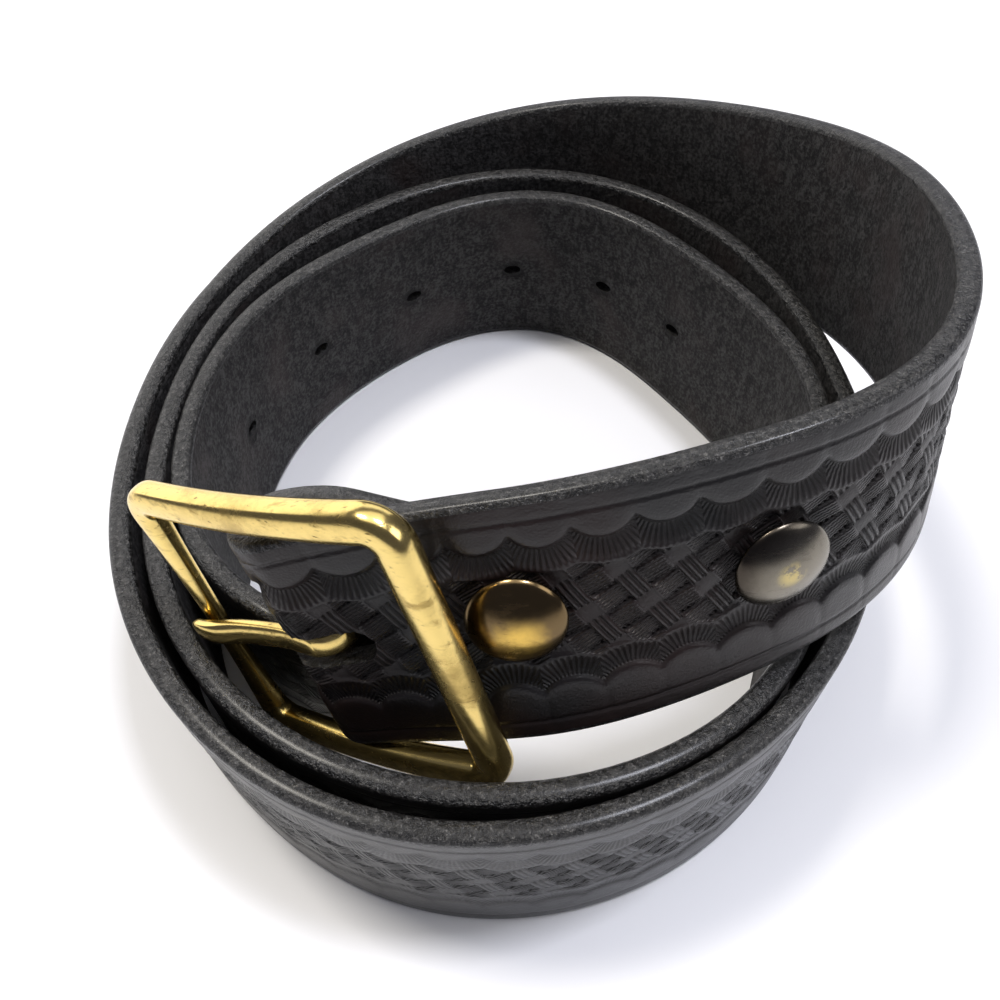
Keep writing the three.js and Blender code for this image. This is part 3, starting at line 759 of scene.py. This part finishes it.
section = rounded(FRAME_W / 2, FRAME_T / 2, 32, 2.7)
rings = []
for x, y, nx, ny in path:
    n, k = FRAME_SETBACK + FRAME_BOW * (1 - (x / L) ** 2), frame_size(x, y)
    rings.append(local(x + FRAME_OFFSET + nx * section[:, 0] * k, y + ny * section[:, 0] * k, n + section[:, 1] * k))
v, f = loft(rings, looped=True)
buckle = mesh_object("buckle_frame_brass", v, f, [BRASS])
bar_rings = []
for a in (-B, -B + 1.0, -BAR_STRAIGHT - 0.6, -BAR_STRAIGHT, BAR_STRAIGHT, BAR_STRAIGHT + 0.6, B - 1.0, B):
    k = max(0.0, (abs(a) - BAR_STRAIGHT) / (B - BAR_STRAIGHT))
    ring = circle(BAR_R * (1 - 0.3 * k), 36)
    bar_rings.append(local(ring[:, 0], np.full(36, a), BAR_RISE * k + ring[:, 1]))
v, f = loft(bar_rings)
bar = mesh_object("bar_part", v, f, [BRASS])
carve(buckle, [bar], "UNION")
buckle.data.set_sharp_from_angle(angle=math.radians(55))
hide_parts("buckle_frame")
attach(buckle, "frame")

# tongue: bent round the bar, lying on the free end bar
r = BAR_R + CLEAR + 0.25 + TONGUE_T / 2
top = FRAME_SETBACK + FRAME_T / 2 * frame_size(L, 0) + CLEAR + 0.1 + TONGUE_T / 2
L = FRAME_LONG / 2 + FRAME_OFFSET
ctrl = [(r * math.cos(a), r * math.sin(a)) for a in np.radians(np.arange(330, 80, -12.0))]
ctrl += [(4.2, 3.4), (6.4, 3.45), (8.5, 3.6), (10.8, 3.85), (13.0, 4.2), (L - 2.4, top + 0.1), (L + 0.3, top), (L + 2.0, top - 0.6)]
ctrl = np.array(ctrl)


def catmull(points, per):
    pts = np.vstack([2 * points[0] - points[1], points, 2 * points[-1] - points[-2]])
    out = []
    for i in range(1, len(pts) - 2):
        p0, p1, p2, p3 = pts[i - 1:i + 3]
        for t in np.linspace(0, 1, per, endpoint=False):
            out.append(0.5 * ((2 * p1) + (-p0 + p2) * t + (2 * p0 - 5 * p1 + 4 * p2 - p3) * t * t + (-p0 + 3 * p1 - 3 * p2 + p3) * t ** 3))
    out.append(points[-1])
    return np.array(out)


line = catmull(ctrl, 5)
tangent = unit(np.gradient(line, axis=0))
normal = np.stack([-tangent[:, 1], tangent[:, 0]], -1)
rings = []
run_left = np.linalg.norm(line - line[-1], axis=1)
for p, nrm in zip(line, normal):
    k = max(0.0, (p[0] - (L - 3)) / 5.2) if p[1] > 0 else 0.0
    hw, ht = TONGUE_W / 2 * (1 - 0.3 * k), TONGUE_T / 2 * (1 - 0.25 * k)
    d = L + 2.0 - p[0]
    if p[1] > 0 and d < 1.6:                      # rounded point
        q = math.sqrt(max(0.05, 1 - ((1.6 - d) / 1.65) ** 2))
        hw, ht = hw * q, ht * max(0.45, q)
    sec = rounded(hw, ht, 24, 3.0)
    rings.append(local(p[0] + nrm[0] * sec[:, 1], sec[:, 0], p[1] + nrm[1] * sec[:, 1]))
v, f = loft(rings)
tongue = mesh_object("buckle_tongue_brass", v, f, [BRASS])
tongue.data.set_sharp_from_angle(angle=math.radians(60))
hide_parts("buckle_tongue")
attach(tongue, "tongue")

# --------------------------------------------------------------------- snaps --
def lathe(name, profile, place, n, material):
    """closed body of a profile turned about its axis; place = (origin, x, y, z)"""
    o, x, y, z = place
    a = np.linspace(0, 2 * math.pi, n, endpoint=False)
    prof = np.array(profile)
    rings, verts, faces = [], [], []
    for rr, h in prof[1:-1]:
        rings.append(o + (rr * np.cos(a))[:, None] * x + (rr * np.sin(a))[:, None] * y + h * z)
    verts = np.concatenate(rings + [[o + prof[0, 1] * z, o + prof[-1, 1] * z]])
    for i in range(len(rings) - 1):
        for k in range(n):
            l = (k + 1) % n
            faces.append((i * n + k, i * n + l, (i + 1) * n + l, (i + 1) * n + k))
    c0, c1, e = len(verts) - 2, len(verts) - 1, (len(rings) - 1) * n
    for k in range(n):
        l = (k + 1) % n
        faces.append((c0, l, k))
        faces.append((c1, e + k, e + l))
    return mesh_object(name, verts, facing_out(verts, faces), [material])


for name, turn, up in SNAPS:
    p, tr, nrm, wd = surface_at(turn, STRAP_W / 2 + up)
    off = layer_offset(turn)
    base, mid, foot_z = HALF_T + 0.5, -(off / 2), -(off + HALF_T + 0.8)
    prof = [(0, mid + 0.2), (POST_R * 0.98, mid + 0.2), (POST_R * 0.98, base + 0.25), (CAP_R - 0.6, base + 0.25), (CAP_R - 0.45, base + 0.02),
            (CAP_R - 0.18, base), (CAP_R - 0.02, base + 0.12), (CAP_R, base + 0.26), (CAP_R - 0.03, base + 0.40)]
    top_r, edge_h = CAP_R - 0.03, 0.40
    for i in range(1, 20):
        a = i / 20
        prof.append((top_r * (1 - a), base + edge_h + (CAP_H - edge_h) * (0.35 * math.sqrt(1 - (1 - a) ** 2) + 0.65 * (1 - (1 - a) ** 2))))
    prof.append((0, base + CAP_H))
    cap = lathe(f"snap_cap_{name}_brass", prof, (p, tr, wd, nrm), 72, AGED if name == "near" else GREYED)
    cap.data.set_sharp_from_angle(angle=math.radians(50))
    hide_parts(f"snap_cap_{name}")
    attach(cap, "strap")
    prof = [(0, foot_z - BACK_H), (BACK_R - 2.6, foot_z - BACK_H), (BACK_R - 2.2, foot_z - BACK_H + 0.25), (BACK_R - 1.4, foot_z - BACK_H + 0.1), (BACK_R - 0.6, foot_z - BACK_H + 0.25),
            (BACK_R - 0.1, foot_z - 0.6), (BACK_R, foot_z - 0.3), (BACK_R - 0.1, foot_z), (POST_R * 0.98, foot_z), (POST_R * 0.98, mid - 0.2), (0, mid - 0.2)]
    back = lathe(f"snap_back_{name}_brass", prof, (p, tr, wd, nrm), 60, AGED)
    back.data.set_sharp_from_angle(angle=math.radians(50))
    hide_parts(f"snap_back_{name}")
    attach(back, "strap")

# the hidden CAD nodes carry the same finishes
for node, mat in (("strap", GRAIN), ("buckle_frame", BRASS), ("buckle_tongue", BRASS), ("snap_cap_near", AGED), ("snap_cap_far", GREYED), ("snap_back_near", AGED), ("snap_back_far", AGED)):
    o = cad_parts[node]
    if not o.material_slots:
        o.data.materials.append(mat)
    for sl in o.material_slots:
        sl.material = mat

# --------------------------------------------------------------- floor, light --
m, t, b = new_material("pale_floor")
b.inputs["Base Color"].default_value = (0.86, 0.86, 0.875, 1)
b.inputs["Roughness"].default_value = 0.42
b.inputs["Specular IOR Level"].default_value = 0.35
floor = mesh_object("floor", np.array([(-1500, -1500, 0), (1500, -1500, 0), (1500, 1500, 0), (-1500, 1500, 0)], float), [(0, 1, 2, 3)], [m], smooth=False)

world = bpy.data.worlds.new("soft_room")
bpy.context.scene.world = world
world.use_nodes = True
world.node_tree.nodes["Background"].inputs[0].default_value = (0.74, 0.76, 1.0, 1)
world.node_tree.nodes["Background"].inputs[1].default_value = 0.11


def area(name, place, target, size, power, colour=(1, 1, 1), tall=None):
    d = bpy.data.lights.new(name, "AREA")
    d.shape, d.size, d.size_y, d.energy, d.color = "RECTANGLE", size, tall or size, power, colour
    o = bpy.data.objects.new(name, d)
    bpy.context.scene.collection.objects.link(o)
    o.location = Vector(place)
    o.rotation_euler = (Vector(target) - Vector(place)).to_track_quat("-Z", "Y").to_euler()
    return o


area("ceiling_panel", (-0.05, 0.30, 1.30), (-0.05, 0.30, 0), 1.4, 6.6, (1.0, 0.985, 0.96))
area("left_light", (-0.42, 0.19, 1.19), (0, 0, 0), 0.22, 8.0, (1.0, 0.95, 0.86))
area("right_light", (0.30, 0.08, 1.24), (0, 0, 0), 0.18, 7.8, (0.88, 0.90, 1.0))
area("left_wall", (-0.98, 0.92, 0.45), (0, 0, 0.04), 1.7, 7.5, (1.0, 0.98, 0.95), 0.9)
area("back_wall", (0.25, 1.25, 0.75), (0, 0, 0.04), 1.1, 2.2, (0.96, 0.97, 1.0), 0.5)
area("right_wall", (0.85, -0.15, 0.75), (0.15, -0.03, 0), 0.6, 2.7, (0.97, 0.97, 1.0), 0.5)

# -------------------------------------------------------------------- camera --
cam_data = bpy.data.cameras.new("camera")
cam_data.sensor_fit, cam_data.sensor_width = "HORIZONTAL", 36.0
cam_data.lens = 36.0 * 895.39 / 1000.0
cam_data.clip_start, cam_data.clip_end = 0.005, 20.0
cam = bpy.data.objects.new("camera", cam_data)
bpy.context.scene.collection.objects.link(cam)
pitch, roll = math.radians(52.91), math.radians(0.206)
F = Vector((0, math.cos(pitch), -math.sin(pitch)))
R0, U0 = Vector((1, 0, 0)), Vector((0, math.sin(pitch), math.cos(pitch)))
R = R0 * math.cos(roll) + U0 * math.sin(roll)
U = U0 * math.cos(roll) - R0 * math.sin(roll)
place = Vector((COIL[0] + 2.651, COIL[1] - 95.336, 150.59)) * MM
cam.matrix_world = Matrix(((R.x, U.x, -F.x, place.x), (R.y, U.y, -F.y, place.y), (R.z, U.z, -F.z, place.z), (0, 0, 0, 1)))
bpy.context.scene.camera = cam
bpy.context.scene.view_settings.view_transform = "Standard"
